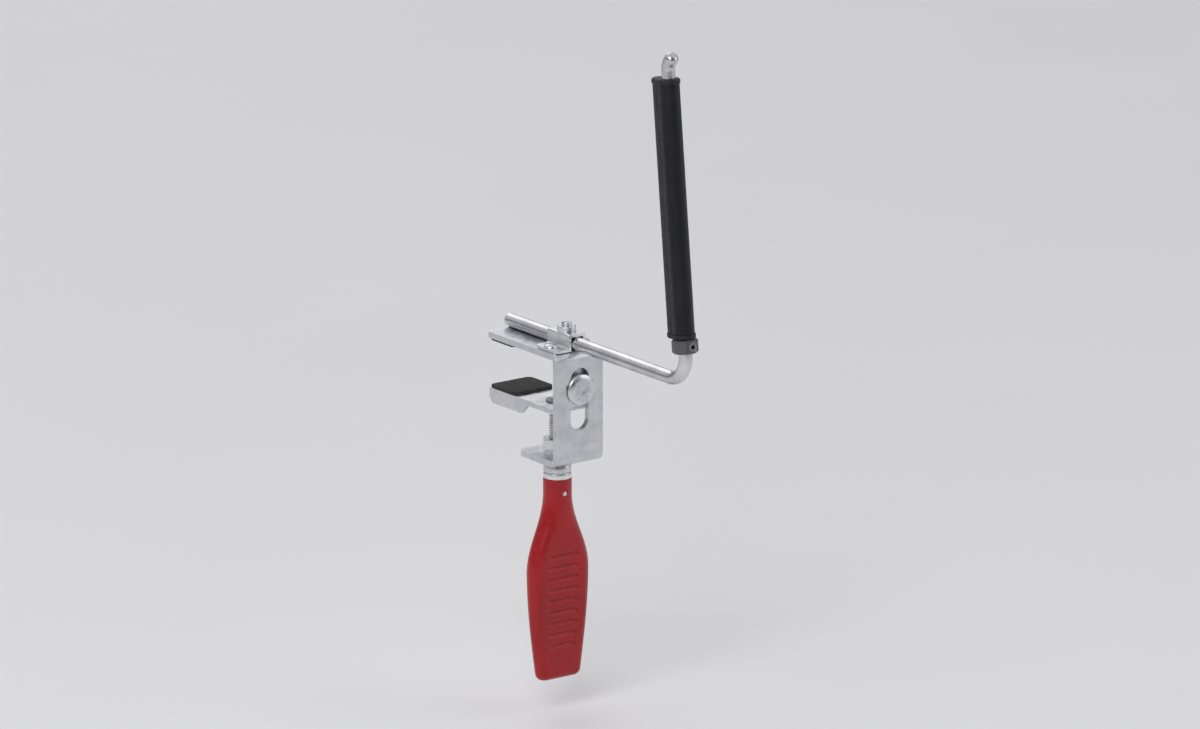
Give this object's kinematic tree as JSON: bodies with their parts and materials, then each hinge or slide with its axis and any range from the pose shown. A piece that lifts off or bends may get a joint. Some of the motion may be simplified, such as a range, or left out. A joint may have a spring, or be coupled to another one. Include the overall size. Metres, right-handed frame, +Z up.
{
  "type": "table tennis net clamp",
  "caption": "Screw clamp for a table's edge with a bent steel rod that carries a leaning two-lobed net post beside the table, and a red paddle handle below.",
  "frame": {"origin": "centre of the upper pad's lower face, which rests on the tabletop near its edge", "axes": "+X along the table's edge, +Y in over the table along the net, +Z up"},
  "size_m": [0.034, 0.1461, 0.3234],
  "materials": {
    "zinc_steel": "bright zinc plating",
    "rod_steel": "bright zinc plating on drawn bar",
    "spring_steel": "phosphated",
    "black_steel": "black, satin",
    "black_plastic": "extruded, satin",
    "red_plastic": "moulded, semi-gloss",
    "rubber": "matt",
    "brass": "turned"
  },
  "bodies": {
    "clamp": {"clamp_frame": "zinc_steel", "upper_pad": "rubber", "rod_saddle": "zinc_steel", "saddle_rivets": "zinc_steel", "lock_nut": "zinc_steel", "spindle_nut": "zinc_steel"},
    "jaw": {"sliding_jaw": "zinc_steel", "lower_pad": "rubber", "guide_stud": "zinc_steel"},
    "spindle": {"spindle": "zinc_steel", "spindle_washer": "zinc_steel", "spindle_clip": "spring_steel", "handle": "red_plastic", "handle_collar": "zinc_steel", "handle_pin": "zinc_steel"},
    "slug": {"lock_slug": "brass"},
    "lock": {"lock_screw": "zinc_steel"},
    "rod": {"net_rod": "rod_steel"},
    "collar": {"post_collar": "black_steel", "collar_screw": "black_steel"},
    "post": {"net_post": "black_plastic", "foot_bush": "black_plastic", "head_cap": "black_plastic"}
  },
  "joints": [
    {"name": "jaw_travel", "type": "slide", "parent": "clamp", "child": "jaw", "axis": [0, 0, 1], "range_m": [-0.012, 0.0015]},
    {"name": "spindle_turn", "type": "hinge", "parent": "jaw", "child": "spindle", "pos_m": [0, -0.0285, -0.05], "axis": [0, 0, 1], "range_deg": [-3460, 436]},
    {"name": "slug_travel", "type": "slide", "parent": "clamp", "child": "slug", "axis": [0, 0, 1], "range_m": [0, 0.001]},
    {"name": "lock_turn", "type": "hinge", "parent": "slug", "child": "lock", "pos_m": [0, -0.036, 0.015], "axis": [0, 0, 1], "range_deg": [0, 455]},
    {"name": "rod_slide", "type": "slide", "parent": "clamp", "child": "rod", "axis": [0, 1, 0], "range_m": [-0.012, 0.02]},
    {"name": "collar_slide", "type": "slide", "parent": "rod", "child": "collar", "axis": [0, 0.1045, 0.9945], "range_m": [-0.001, 0.003]},
    {"name": "post_turn", "type": "hinge", "parent": "collar", "child": "post", "pos_m": [0, -0.131, 0.0078], "axis": [0, 0.1045, 0.9945], "range_deg": [-90, 90]}
  ],
  "couplings": [
    {"joint": "spindle_turn", "follows": "jaw_travel", "rad_per_m": 5026.5},
    {"joint": "lock_turn", "follows": "slug_travel", "rad_per_m": 7854}
  ]
}
